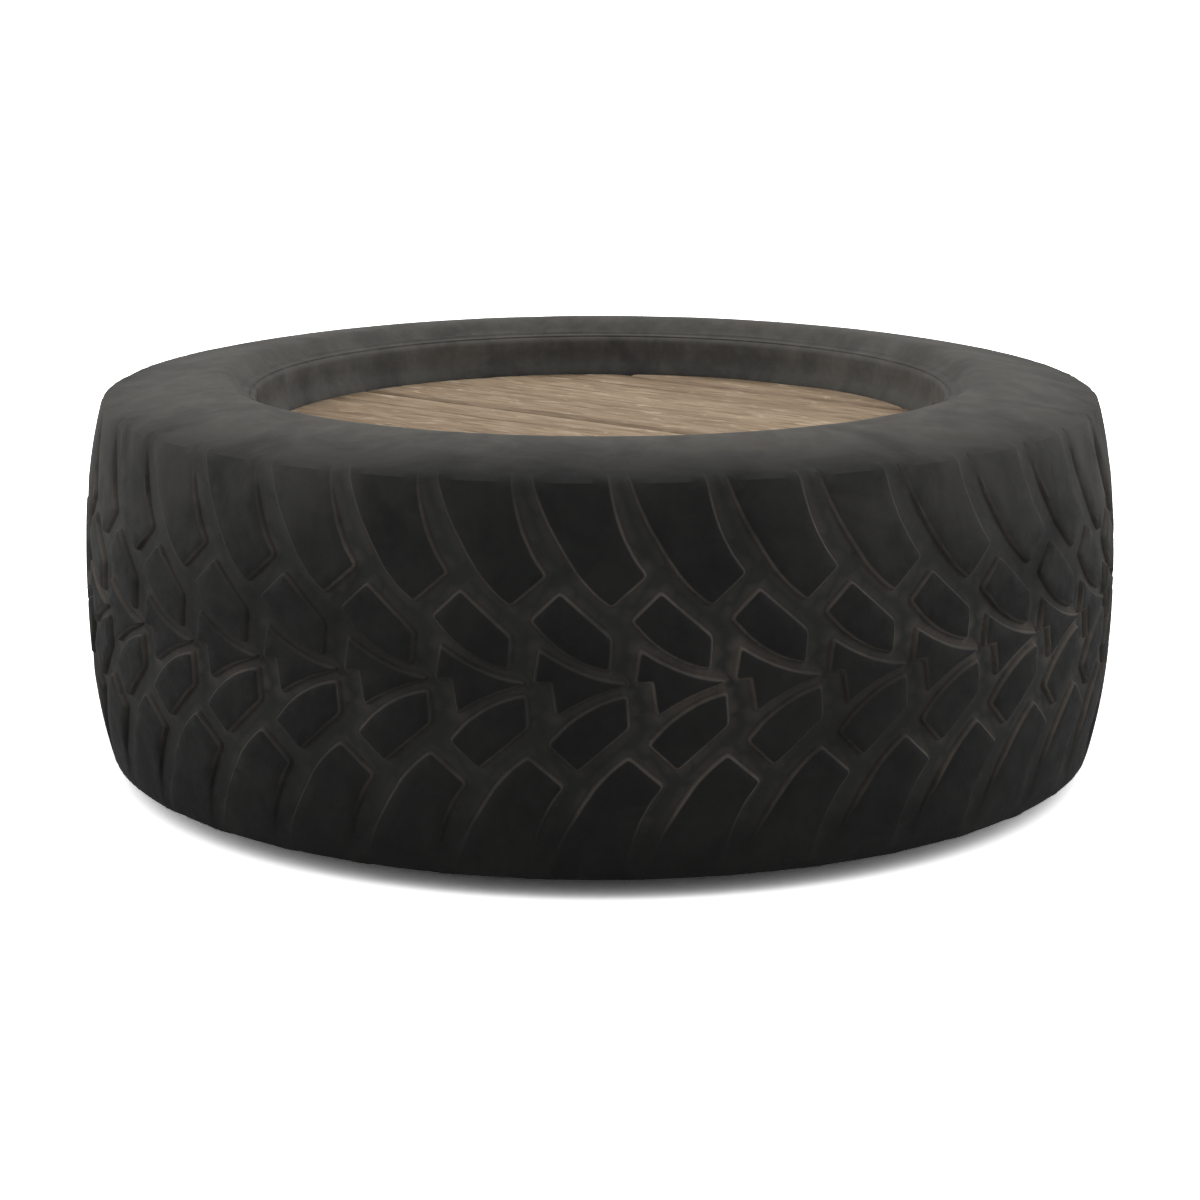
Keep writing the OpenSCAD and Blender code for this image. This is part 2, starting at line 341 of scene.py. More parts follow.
class Pitch:
    """One pitch of the tread on the flat: its points, their kinds and its triangles."""

    def __init__(self):
        right = seam()
        self.count = len(right)
        self.points = [(u - PITCH, s) for u, s in right] + right
        self.kinds = [FLOOR] * len(self.points)
        self.edges = []
        for k in range(self.count - 1):
            self.edges += [(k, k + 1), (self.count + k, self.count + k + 1)]
        self.low = self.end_row(0, self.count, -TREAD_END)
        self.high = self.end_row(self.count - 1, 2 * self.count - 1, TREAD_END)
        self.border = self.outline()
        self.tops = [self.add_block(outline) for outline in block_outlines()]
        self.fill()
        self.triangles = self.triangulate()

    def add(self, points, kind):
        """Adds the points and gives their numbers."""
        start = len(self.points)
        self.points.extend(points)
        self.kinds.extend([kind] * len(points))
        return list(range(start, len(self.points)))

    def end_row(self, a, b, s):
        """The straight end row between seam points a and b."""
        left = self.points[a][0]
        chain = [a] + self.add([(left + PITCH * k / STEPS, s) for k in range(1, STEPS)], FLOOR) + [b]
        self.edges.extend(zip(chain, chain[1:]))
        return chain

    def outline(self):
        """The border of the pitch, once round."""
        left, right = self.points[:self.count], self.points[self.count:2 * self.count]
        high = [self.points[i] for i in self.high[1:-1]]
        low = [self.points[i] for i in self.low[1:-1]]
        return left + high + right[::-1] + low[::-1]

    def add_block(self, outline):
        """Adds a block's outlines, in the pitch that its middle lies in, and gives the top one."""
        centre = [sum(p[k] for p in outline) / len(outline) for k in (0, 1)]
        if not inside(self.border, centre):
            outline = [(u - PITCH, s) for u, s in outline]
        loops = [(rounded(inset(outline, depth), cut, LOOP_STEP), kind) for depth, cut, kind in LOOPS]
        for loop, kind in loops:
            self.edges.extend(sides(self.add(loop, kind)))
        return loops[0][0]

    def fill(self):
        """Adds points in even rows wherever no outline is near."""
        ends = np.array([[self.points[a], self.points[b]] for a, b in self.edges])
        start, run = ends[:, 0], ends[:, 1] - ends[:, 0]
        for j in FILL_ROWS:
            for i in FILL_COLUMNS:
                p = ((i + 0.5 * (j % 2)) * FILL_STEP, j * FILL_STEP * FILL_ROW)
                if not inside(self.border, p):
                    continue
                t = np.clip(((np.array(p) - start) * run).sum(1) / (run * run).sum(1), 0, 1)
                if np.hypot(*(start + run * t[:, None] - p).T).min() < FILL_CLEAR:
                    continue
                self.add([p], TOP if any(inside(top, p) for top in self.tops) else FLOOR)

    def triangulate(self):
        made = delaunay_2d_cdt([Vector(p) for p in self.points], self.edges, [], 1, SAME_POINT)
        names = [min(orig) if orig else -1 for orig in made[3]]
        if -1 in names or len(set(names)) != len(self.points):
            raise ValueError("the tread's outlines cross")
        return [tuple(names[i] for i in face) for face in made[2]]


# ---- dust, painted light and shade, and wear on the tyre ----
# How dusty the surface is along its path, from the tread's middle over the side to the bead's toe. Its
# fall from the sidewall's top over the buttress to the tread is partly dust and partly painted shade,
# where the surface turns from facing up to facing outwards.
DUST_END = float(OUTER_S[-1]) + math.dist(OUTER[-1], (TOE_R, TOE_Z))
DUST_AND_SHADE_S = (0, 70, 96, 106, 112, 117, 124, 132, 142, 160, 180, 200, 215, DUST_END - 22, DUST_END)
DUST_AND_SHADE = (0.0, 0.03, 0.08, 0.12, 0.17, 0.22, 0.3, 0.41, 0.62, 0.87, 0.97, 0.95, 0.95, 0.8, 0.2)
SIDE_LIGHT_LEAN = -8.0  # painted light: at the left and the right, where the light from the sides falls, the pale dust's edge lies this much further down the path,
FRONT_SHADE_LEAN = 26.0  # and painted shade: at the front and the back, which get less light, this much higher than there
LEAN_FADE = (165, 195)
# Thin veils on the upper blocks, partly dust and partly painted light, which make them paler away from
# the front, where the light from the sides falls: how dense, the degrees around from the front at which
# each sets in, and the path lengths over which it does
VEILS_AND_SIDE_LIGHT = ((0.2, (12, 37), (5, 115)), (0.19, (50, 70), (-10, 60)))
BEAD_SIDE_LIGHT = 0.6  # painted light: more of the pale dust colour on the bead at the left and the right, where the light from the sides falls on it
BEAD_FADE = (200, 220)
LOWER_DUST = 0.35  # the share of it that the lower half has

# Patches where dirt has packed the grooves and blurred the pattern: how many degrees around from
# the front, the path length s, half the size in each, and how much is lost
BLURRED = ((-38, 23, 21, 27, 0.85), (28, -17, 15, 28, 0.7), (54, 38, 12, 26, 0.75))
LOWER_SHOULDER_FADE = 0.9  # how much of the pattern fades out towards the bottom of the lower shoulder
LOWER_SHOULDER_SPAN = (60, 94)
LEAST_DEPTH = 0.45  # the share of a groove's depth that dirt never takes
CLEAR_ENOUGH = 0.25  # a groove keeps its whole depth until this much of the pattern is lost

BEVEL_DROP = 0.55  # how far the worn edge of a block lies under its top
BASE_EDGE = 0.4  # how much of the pale edge reaches the foot of a block's wall,
ARROW_EDGE = 0.75  # and beside the narrow grooves of the arrow line
# Wear, each as how much in millimetres, the size of its patches in metres, and a seed
TOP_WEAR = ((0.35, 0.03, 3.1), (0.5, 0.11, 8.4))
EDGE_WEAR = (0.7, 0.012, 5.7)
EDGE_WANDER = (0.5, 0.009, 1.3)
FLOOR_DIRT = (0.4, 0.02, 2.2)
SIDE_WEAR = (0.05, 6.6)  # the plain surface's patches, in metres, and their seed
SIDE_WAVER, LINE_WAVER, BEAD_WAVER = 0.4, 0.1, 0.12  # how much the plain rings waver


def from_front(u):
    """How many degrees u lies around from the front, between -180 and 180."""
    return (math.degrees(u / TYRE_R) + 180) % 360 - 180


def dust_and_light_at(s, u):
    """How dusty the surface is, from 0 to 1, with painted light and shade laid into it.

    The lower half is less dusty. The dust reaches down least at the front and the back, which is
    painted shade where less light falls. Away from the front a thin veil lies on the upper blocks
    too, partly dust and partly painted light from the sides, and the bead is paler at the left and
    the right, which is painted light where the light from the sides falls on it.
    """
    turn = u / TYRE_R
    degrees = abs(from_front(u))
    # painted light and shade: the pale dust's edge lies lower at the left and the right and higher at the
    # front and the back
    light_and_shade_lean = (SIDE_LIGHT_LEAN + FRONT_SHADE_LEAN * math.cos(turn) ** 2) * (1 - ramp(abs(s), *LEAN_FADE))
    dust = float(np.interp(abs(s) - light_and_shade_lean, DUST_AND_SHADE_S, DUST_AND_SHADE))
    # painted light, partly dust: the upper blocks paler away from the front
    veil = sum(dense * ramp(degrees, *turned) * ramp(s, *risen) for dense, turned, risen in VEILS_AND_SIDE_LIGHT)
    dust += veil * (1 - dust)
    # painted light: the bead paler at the left and the right
    dust += BEAD_SIDE_LIGHT * math.sin(turn) ** 2 * ramp(abs(s), *BEAD_FADE) * (1 - dust)
    return dust * (1.0 if s > 0 else LOWER_DUST)


def shown_at(s, u):
    """How clear the pattern is: it fades out towards the bottom of the lower shoulder, and the blurred
    patches dim it.
    """
    clear = 1 - LOWER_SHOULDER_FADE * ramp(-s, *LOWER_SHOULDER_SPAN)
    for middle, s_middle, half, s_half, lost in BLURRED:
        off = ((from_front(u) - middle) / half) ** 4 + ((s - s_middle) / s_half) ** 4
        clear *= 1 - lost * math.exp(-off)
    return clear


def tread_depth(s):
    return GROOVE * (1 - ramp(abs(s - ARROW_RISE), *GROOVE_FADE))


def wear(point, size, seed):
    return noise.noise(Vector((point[0] / size + seed, point[1] / size, point[2] / size)))


def worn(point, amount, size, seed):
    return amount * max(0.0, wear(point, size, seed))


def tread_point(kind, u, s):
    """A point of the tread: its place, its dust with painted light and shade in it, and how much pale
    edge and groove dirt it shows.
    """
    r, z, nr, nz = on_section(s)
    shown = shown_at(s, u)
    kept = LEAST_DEPTH + (1 - LEAST_DEPTH) * min(1.0, shown + CLEAR_ENOUGH)
    depth = tread_depth(s) * kept
    full = depth / GROOVE
    flat = around(u, r, z)
    drop = {TOP: 0.0, BEVEL: BEVEL_DROP * full, BASE: depth, FLOOR: depth}[kind]
    if kind in (TOP, BEVEL):
        drop += sum(worn(flat, *patches) for patches in TOP_WEAR)
    if kind == BEVEL:
        drop += full * worn(flat, *EDGE_WEAR)
        u += EDGE_WANDER[0] * full * wear(flat, *EDGE_WANDER[1:])
    if kind == FLOOR:
        drop -= full * worn(flat, *FLOOR_DIRT)
    shown *= math.sqrt(full)
    base_edge = ARROW_EDGE if abs(s - ARROW_RISE) < ARROW_GROOVE else BASE_EDGE
    edge = {TOP: 0.0, BEVEL: 1.0, BASE: base_edge, FLOOR: 0.0}[kind] * shown
    groove = shown if kind in (BASE, FLOOR) else 0.0
    return around(u, r - nr * drop, z - nz * drop), dust_and_light_at(s, u), edge, groove


# ---- the tyre's mesh ----
LINE_RADII = (SEAT_R + 10.2, SEAT_R + 1.6)  # the two fine moulded rings, either side of the bead's face
LINE_HEIGHT = 0.8
LINE_HALF = 0.9
# Across a moulded ring: how many halves of its width off its middle, and whether raised
LINE_PROFILE = ((-1.6, 0), (-0.5, 1), (0.5, 1), (1.6, 0))
SIDE_STEP = 4.2  # path length between the sidewall's rings,
LIP_STEP = 2.2  # and between those of the lip
SIDE_START = 3.5
LINE_CLEAR = 3.0  # how far the plain rings stay off a moulded ring before it and behind it,
LAST_CLEAR = 2.4  # and before the last one
TYRE_SHARP = 42  # edges sharper than this many degrees stay crisp on the tyre,
PLANK_SHARP = 35  # and on the planks


def shade(mesh, degrees):
    """Smooth shading, with edges sharper than the angle kept crisp."""
    mesh.shade_smooth()
    limit = math.cos(math.radians(degrees))
    normals = [f.normal.copy() for f in mesh.polygons]
    by_edge = {}
    for f in mesh.polygons:
        for key in f.edge_keys:
            by_edge.setdefault(key, []).append(f.index)
    for e in mesh.edges:
        pair = by_edge.get(e.key, [])
        if len(pair) == 2 and normals[pair[0]].dot(normals[pair[1]]) < limit:
            e.use_edge_sharp = True


def new_piece(name, places, faces, marks, sharp):
    """A mesh piece, with a named value at each of its points for every one of the marks."""
    mesh = bpy.data.meshes.new(name)
    mesh.from_pydata(places, [], faces)
    for mark, values in marks.items():
        mesh.attributes.new(mark, "FLOAT", "POINT").data.foreach_set("value", values)
    mesh.validate()
    piece = bpy.data.objects.new(name, mesh)
    bpy.context.collection.objects.link(piece)
    shade(mesh, sharp)
    return piece


def side_rows():
    """Rings of the plain surface from the tread's end to the hollow: (r, z, waver, path length s)."""
    side_r, side_s = OUTER_R[CREST_AT:], OUTER_S[CREST_AT:]
    first, last = sorted(float(np.interp(-radius, -side_r, side_s)) for radius in LINE_RADII)
    steps = [(s, 0.0) for s in np.arange(TREAD_END + SIDE_START, first - LINE_CLEAR, SIDE_STEP)]
    steps += [(first + k * LINE_HALF, lift * LINE_HEIGHT) for k, lift in LINE_PROFILE]
    steps += [(s, 0.0) for s in np.arange(first + LINE_CLEAR, last - LAST_CLEAR, LIP_STEP)]
    steps += [(last + k * LINE_HALF, lift * LINE_HEIGHT) for k, lift in LINE_PROFILE]
    rows = []
    for s, lift in steps:
        r, z, nr, nz = on_section(s)
        rows.append((r + nr * lift, z + nz * lift, LINE_WAVER if lift else SIDE_WAVER, s))
    s, before = OUTER_S[-1], OUTER[-1]
    for point in INNER:
        s += math.dist(before, point)
        before = point
        rows.append((*point, BEAD_WAVER, s))
    return rows


class Tyre:
    """The tyre's mesh in the making: its points with what lies on each, and its faces."""

    def __init__(self):
        self.pitch = Pitch()
        self.places, self.faces = [], []
        # the dust mark carries the dust together with painted light and shade
        self.marks = {"dust": [], "edge_dust": [], "groove_dust": []}
        count = self.pitch.count
        self.own = [p for p in range(len(self.pitch.points)) if not count <= p < 2 * count]
        self.rank = {p: k for k, p in enumerate(self.own)}

    def add(self, place, dust, edge=0.0, groove=0.0):
        self.places.append(place)
        for mark, value in zip(self.marks.values(), (dust, edge, groove)):
            mark.append(value)

    def number(self, turn, p):
        """The number of the pitch's point p after so many pitches; a right seam is the next left one."""
        count = self.pitch.count
        if count <= p < 2 * count:
            turn, p = turn + 1, p - count
        return (turn % PITCHES) * len(self.own) + self.rank[p]

    def add_tread(self):
        for turn in range(PITCHES):
            for p in self.own:
                u, s = self.pitch.points[p]
                self.add(*tread_point(self.pitch.kinds[p], u + turn * PITCH, s))
        for turn in range(PITCHES):
            self.faces += [tuple(self.number(turn, p) for p in face) for face in self.pitch.triangles]

    def add_ring(self, r, z, waver, s, start_u):
        start = len(self.places)
        for k in range(RING_SIZE):
            u = start_u + k * PITCH / STEPS
            push = abs(waver * wear(around(u, r, z), *SIDE_WEAR))
            self.add(around(u, r - push, z - math.copysign(push, z)), dust_and_light_at(s, u))
        return list(range(start, start + RING_SIZE))

    def join(self, a, b, flip):
        """A band of faces between two rings."""
        for k in range(RING_SIZE):
            m = (k + 1) % RING_SIZE
            quad = (a[k], a[m], b[m], b[k])
            self.faces.append(quad[::-1] if flip else quad)

    def end_ring(self, row):
        return [self.number(turn, p) for turn in range(PITCHES) for p in row[:-1]]

    def add_sides(self):
        """The plain surface of both halves, from the tread's ends into the hollow, where they meet."""
        pitch = self.pitch
        high_u, low_u = pitch.points[pitch.high[0]][0], pitch.points[pitch.low[0]][0]
        turned = round((low_u - high_u) / PITCH * STEPS)
        low_ring = self.end_ring(pitch.low)
        low_ring = low_ring[-turned:] + low_ring[:-turned]  # now it starts where the high one does
        rows = side_rows()
        last = []
        for sign, ring in ((1, self.end_ring(pitch.high)), (-1, low_ring)):
            for r, z, waver, s in rows:
                new = self.add_ring(r, sign * z, waver, sign * s, high_u)
                self.join(ring, new, sign < 0)
                ring = new
            last.append(ring)
        self.join(*last, False)


def make_tyre():
    tyre = Tyre()
    tyre.add_tread()
    tyre.add_sides()
    return new_piece("worn_tyre", tyre.places, tyre.faces, tyre.marks, TYRE_SHARP)


tyre = make_tyre()
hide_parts("tyre")
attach(tyre, "root")


# ---- materials ----
def srgb(r, g, b):
    """A colour written as it looks on a screen, 0 to 255, as the linear values that shaders take."""
    linear = [c / 255 / 12.92 if c <= 10 else ((c / 255 + 0.055) / 1.055) ** 2.4 for c in (r, g, b)]
    return (*linear, 1.0)


class Nodes:
    """Short calls that build the nodes of a material or of the world."""

    def __init__(self, owner, place="Object"):
        owner.use_nodes = True
        self.owner = owner
        self.tree = owner.node_tree
        self.place = self.add("ShaderNodeTexCoord").outputs[place]

    def add(self, kind, **values):
        node = self.tree.nodes.new(kind)
        for key, value in values.items():
            setattr(node, key, value)
        return node

    def put(self, socket, value):
        if isinstance(value, bpy.types.NodeSocket):
            self.tree.links.new(value, socket)
        else:
            socket.default_value = value

    def math(self, operation, a, b=0.0, clamp=False):
        node = self.add("ShaderNodeMath", operation=operation, use_clamp=clamp)
        self.put(node.inputs[0], a)
        self.put(node.inputs[1], b)
        return node.outputs[0]

    def times(self, a, b):
        return self.math("MULTIPLY", a, b)

    def plus(self, a, b):
        return self.math("ADD", a, b)

    def above_zero(self, value):
        return self.math("MAXIMUM", value, 0.0)

    def vector(self, operation, a, b=(0, 0, 0)):
        node = self.add("ShaderNodeVectorMath", operation=operation)
        self.put(node.inputs[0], a)
        self.put(node.inputs[1], b)
        return node

    def split(self, vector):
        node = self.add("ShaderNodeSeparateXYZ")
        self.put(node.inputs[0], vector)
        return tuple(node.outputs)

    def combine(self, x=0.0, y=0.0, z=0.0):
        node = self.add("ShaderNodeCombineXYZ")
        for socket, value in zip(node.inputs, (x, y, z)):
            self.put(socket, value)
        return node.outputs[0]

    def noise(self, scale, detail=4.0, rough=0.55, place=None, twist=0.0):
        node = self.add("ShaderNodeTexNoise")
        self.put(node.inputs["Vector"], place or self.place)
        node.inputs["Scale"].default_value = scale
        node.inputs["Detail"].default_value = detail
        node.inputs["Roughness"].default_value = rough
        node.inputs["Distortion"].default_value = twist
        return node.outputs["Fac"]

    def cracks(self, scale):
        """How far it is to the nearest line of a net of cracks."""
        node = self.add("ShaderNodeTexVoronoi", feature="DISTANCE_TO_EDGE")
        self.put(node.inputs["Vector"], self.place)
        node.inputs["Scale"].default_value = scale
        return node.outputs["Distance"]

    def span(self, value, low, high, out_low=0.0, out_high=1.0):
        """The value's way from low to high, as a smooth way from out_low to out_high."""
        node = self.add("ShaderNodeMapRange", interpolation_type="SMOOTHSTEP")
        self.put(node.inputs["Value"], value)
        ends = {"From Min": low, "From Max": high, "To Min": out_low, "To Max": out_high}
        for name, number in ends.items():
            node.inputs[name].default_value = number
        return node.outputs["Result"]

    def mix(self, factor, a, b):
        """Colour a where the factor is 0, and b where it is 1."""
        node = self.add("ShaderNodeMix", data_type="RGBA")
        first, second = (s for s in node.inputs if s.type == "RGBA")
        self.put(node.inputs["Factor"], factor)
        self.put(first, a)
        self.put(second, b)
        return next(s for s in node.outputs if s.type == "RGBA")

    def bump(self, height, strength, distance, normal=None):
        node = self.add("ShaderNodeBump")
        self.put(node.inputs["Height"], height)
        node.inputs["Strength"].default_value = strength
        node.inputs["Distance"].default_value = distance
        if normal is not None:
            self.put(node.inputs["Normal"], normal)
        return node.outputs["Normal"]

    def attribute(self, name):
        return self.add("ShaderNodeAttribute", attribute_name=name).outputs["Fac"]

    def finish(self, color, roughness, normal, specular, metallic=0.0):
        values = {"Base Color": color, "Roughness": roughness, "Normal": normal,
                  "Specular IOR Level": specular, "Metallic": metallic}
        for name, value in values.items():
            self.put(self.tree.nodes["Principled BSDF"].inputs[name], value)
        return self.owner


def material_nodes(name):
    return Nodes(bpy.data.materials.new(name))


# Noises: how many patches there are to a metre, the detail, the roughness, and any twist
BLOTCH = {"scale": 5.0, "detail": 5, "rough": 0.6}
PATCH = {"scale": 17.0, "detail": 6, "rough": 0.62, "twist": 0.6}
MOTTLE = {"scale": 60.0, "detail": 5, "rough": 0.65}
GRIT = {"scale": 420.0, "detail": 3, "rough": 0.6}
RUNS = {"scale": 1.0, "detail": 5, "rough": 0.62}
RUN_SHAPE = (44, 44, 5)  # streaks run down the sides: how often they change along each axis
CRACK_NET = 130.0  # fine cracks: how many cells of them there are to a metre
CRACK_WIDTH = 0.05

# Ramps: the values that the input runs between, and what they become
MOST = (0.3, 0.7)  # most of a noise lies between these
PACKED = (0.2, 0.7, 0.45, 0.95)
EDGE_BLOTCHES = (0.36, 0.6, 0.4, 1.0)
EDGE_MOTTLE = (0.2, 0.7, 0.6, 1.0)
BROWN_PATCHES = (0.52, 0.72, 0.0, 0.6)
SANDY_BLOTCHES = (0.55, 0.75, 0.0, 0.35)
SWING = (0.1, 0.6, 0.35, 1.0)  # thick dust varies more than thin dust
UNEVEN = (0.2, 0.8, -0.3, 0.3)
UPRIGHT = (0.1, 0.7, 1.0, 0.0)  # from how far the surface faces up
RUN_STRENGTH = (0.3, 0.7, -0.16, 0.1)
DUST_ONSET = 6.0  # dust shows fully once there is a sixth of it
RUBBER_ROUGH = (0.66, 0.85)
RUBBER_SHINE = 0.14
GRIT_SHARE = 0.35
GRIT_BUMP = (0.3, 0.0009)  # strength, and height in metres
CRACK_BUMP = (0.12, 0.0005)

RUBBER = srgb(20, 20, 20), srgb(27, 27, 26)
GROOVE_DIRT = srgb(34, 35, 33), srgb(42, 43, 41)
PALE_EDGE = srgb(58, 56, 53), srgb(88, 81, 75)
PALE_DUST = srgb(69, 68, 65), srgb(84, 82, 78)
BROWN_DUST = srgb(58, 55, 50)
SANDY_DUST = srgb(86, 76, 66)


def bare_rubber(n, blotch, patch, mottle):
    """The rubber under the dust: black, with dirt in its grooves and paler worn edges."""
    black = n.mix(n.span(patch, *MOST), *RUBBER)
    packed = n.times(n.attribute("groove_dust"), n.span(patch, *PACKED))
    color = n.mix(packed, black, n.mix(mottle, *GROOVE_DIRT))
    strong = n.times(n.span(blotch, *EDGE_BLOTCHES), n.span(mottle, *EDGE_MOTTLE))
    edge = n.times(n.attribute("edge_dust"), strong)
    return n.mix(edge, color, n.mix(n.span(patch, *MOST), *PALE_EDGE))


def dust_color(n, blotch, patch, mottle):
    color = n.mix(n.span(mottle, *MOST), *PALE_DUST)
    color = n.mix(n.span(patch, *BROWN_PATCHES), color, BROWN_DUST)
    return n.mix(n.span(blotch, *SANDY_BLOTCHES), color, SANDY_DUST)


def dust_cover(n, patch):
    """How much of the rubber the dust hides: patchy, and streaked where the surface is upright."""
    # the dust mark carries painted light and shade too, so this cover paints light and shade as well as
    # dust
    dust = n.attribute("dust")
    swing = n.span(dust, *SWING)
    cover = n.plus(dust, n.times(swing, n.span(patch, *UNEVEN)))
    facing = n.split(n.add("ShaderNodeNewGeometry").outputs["Normal"])
    runs = n.noise(**RUNS, place=n.vector("MULTIPLY", n.place, RUN_SHAPE).outputs["Vector"])
    streaks = n.times(swing, n.span(runs, *RUN_STRENGTH))
    cover = n.plus(cover, n.times(n.span(facing[2], *UPRIGHT), streaks))
    onset = n.math("MINIMUM", n.times(dust, DUST_ONSET), 1.0)
    return n.math("MULTIPLY", onset, cover, clamp=True)


def rubber_material():
    n = material_nodes("worn_rubber")
    blotch, patch, mottle = n.noise(**BLOTCH), n.noise(**PATCH), n.noise(**MOTTLE)
    color = bare_rubber(n, blotch, patch, mottle)
    color = n.mix(dust_cover(n, patch), color, dust_color(n, blotch, patch, mottle))
    height = n.plus(n.times(n.noise(**GRIT), GRIT_SHARE), n.times(mottle, 1 - GRIT_SHARE))
    normal = n.bump(height, *GRIT_BUMP)
    normal = n.bump(n.span(n.cracks(CRACK_NET), 0.0, CRACK_WIDTH), *CRACK_BUMP, normal)
    return n.finish(color, n.span(mottle, *MOST, *RUBBER_ROUGH), normal, RUBBER_SHINE)


tyre.data.materials.append(rubber_material())


# ---- the board ----
PLANK_TURN = math.radians(-38)
EDGE_GAP = 0.3
EDGE_SLOPE = math.radians(11)
PLANK_W = 167.0
JOINT_OFFSET = 12.0
JOINT_GAP = 1.6
board_low, board_top = (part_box("plank_2")[k][2] / MM for k in (0, 1))
EDGE_RATE = math.tan(EDGE_SLOPE)
BOARD_R = TOE_R - EDGE_GAP / math.cos(EDGE_SLOPE) + (board_top - MIDDLE - TOE_Z) * EDGE_RATE
BACK_JOINT, JOINT, FRONT_JOINT = JOINT_OFFSET + PLANK_W, JOINT_OFFSET, JOINT_OFFSET - PLANK_W
RIM_FLAT = 0.25  # how much the outer planks' far ends are flattened
SPANS = {
    "plank_1": (BACK_JOINT + JOINT_GAP / 2, BOARD_R - RIM_FLAT),
    "plank_2": (JOINT + JOINT_GAP / 2, BACK_JOINT - JOINT_GAP / 2),
    "plank_3": (FRONT_JOINT + JOINT_GAP / 2, JOINT - JOINT_GAP / 2),
    "plank_4": (-BOARD_R + RIM_FLAT, FRONT_JOINT - JOINT_GAP / 2)}
ARRIS = ((0.0, 1.6), (0.5, 0.75), (1.3, 0.25), (2.6, 0.0))  # worn edges: how far in, and how far down
ARRIS_END = 4.5
ROW_STEP = 2.4
LEAST_ROWS = 3
COLUMNS = 64  # steps along a plank's top,
UNDER_STEPS = 8  # and along its underside
RIM_WEAR = (1.6, 0.7)  # the worn rim: how far in, and how far down
END_INSET = 0.3
LEAST_CHORD = 0.01
# Worn grain: how deep, how often it changes along and across the plank, and a seed
TOP_GRAIN = ((0.35, 0.004, 0.16, 0), (0.3, 0.008, 0.03, 40))


def plank_rows(low, high):
    """Places across a plank, each with how far its top is worn down there."""
    rows = [(low + off, drop) for off, drop in ARRIS]
    parts = max(LEAST_ROWS, round((high - low - 2 * ARRIS_END) / ROW_STEP))
    rows += [(float(y), 0.0) for y in np.linspace(low + ARRIS_END, high - ARRIS_END, parts)]
    return rows + [(high - off, drop) for off, drop in reversed(ARRIS)]


def top_wear(x, y, seed):
    """How far the weathered top lies under the sawn one: soft grain worn away, and a shallow cup."""
    return sum(deep * max(0.0, noise.noise(Vector((x * along, y * over, seed + shift))))
               for deep, along, over, shift in TOP_GRAIN)


def half_chord(radius, y):
    return math.sqrt(max(radius ** 2 - y * y, LEAST_CHORD))


def plank_ring(y, drop, seed):
    """The plank's outline where it is cut along y: over its top, and back along its underside."""
    floor = max(board_low, board_top - max(BOARD_R - abs(y), 0) / EDGE_RATE)
    half = half_chord(BOARD_R, y)
    half_low = half_chord(BOARD_R - (board_top - floor) * EDGE_RATE, y)
    ring = []
    for k in range(COLUMNS + 1):
        t = math.sin((k / COLUMNS - 0.5) * math.pi)
        rim = max(0.0, 1 - half * (1 - abs(t)) / RIM_WEAR[0]) * RIM_WEAR[1]
        x = t * (half - (END_INSET if k in (0, COLUMNS) else 0))
        ring.append((x, y, board_top - drop - rim - top_wear(x, y, seed)))
    end = ((half + half_low) / 2, (board_top + floor) / 2)
    under = [(half_low * (1 - 2 * k / UNDER_STEPS), y, floor) for k in range(UNDER_STEPS + 1)]
    return ring + [(end[0], y, end[1])] + under + [(-end[0], y, end[1])]


def board_place(x, y, z):
    """From millimetres along and across the planks to the frame's metres."""
    sin, cos = math.sin(PLANK_TURN), math.cos(PLANK_TURN)
    return ((x * cos - y * sin) * MM, (x * sin + y * cos) * MM, z * MM)


def make_plank(node, seed):
    rings = [plank_ring(y, drop, seed) for y, drop in plank_rows(*SPANS[node])]
    places = [board_place(*p) for ring in rings for p in ring]
    size = len(rings[0])
    faces = []
    for start in range(size, len(places), size):
        for k in range(size):
            m = (k + 1) % size
            faces.append((start - size + k, start - size + m, start + m, start + k))
    faces.append(tuple(range(size)))
    faces.append(tuple(range(len(places) - 1, len(places) - size - 1, -1)))
    plank = new_piece(node + "_worn", places, faces, {"plank": [float(seed)] * len(places)}, PLANK_SHARP)
    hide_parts(node)
    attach(plank, "root")
    return plank


# ---- weathered wood ----
# Stains and cracks along the grain, in millimetres across and along the planks from the board's
# centre: the line's middle, half its width, where it begins and ends, and how dark it is (bleached
# where that is below 0)
STAINS = (
    (JOINT + 5, 11.0, -230, 230, 0.62), (JOINT + 9, 6.0, -110, -20, 0.3),
    (JOINT + 1, 6.0, -230, -100, 0.3), (JOINT - 7, 9.0, -230, 230, -0.25),
    (BACK_JOINT - 7.5, 10.0, -230, 230, 0.62), (BACK_JOINT + 5, 9.0, -230, 230, -0.2),
    (-20.5, 2.2, -230, 0, 0.6), (-24, 10.0, -230, 20, 0.2),
    (66.5, 2.0, -230, 110, 0.35), (122, 2.0, 20, 150, 0.3), (-100, 125.0, -260, 260, 0.3))
STAIN_FADE = 30.0
STAIN_WAVER = {"scale": 9.0, "detail": 3, "rough": 0.5}
WAVER_SPAN = (0.2, 0.8, -2.0, 2.0)  # in millimetres across
STAIN_PATCHES = (0.32, 0.68, 1.0, 0.6)
RIM_DARKER_REACH = 22.0  # how far in from its edge the board is darker in places
RIM_DARK = 0.5
RIM_NOISE = {"scale": 14.0, "detail": 4, "rough": 0.6}
RIM_PATCHES = (0.45, 0.62)

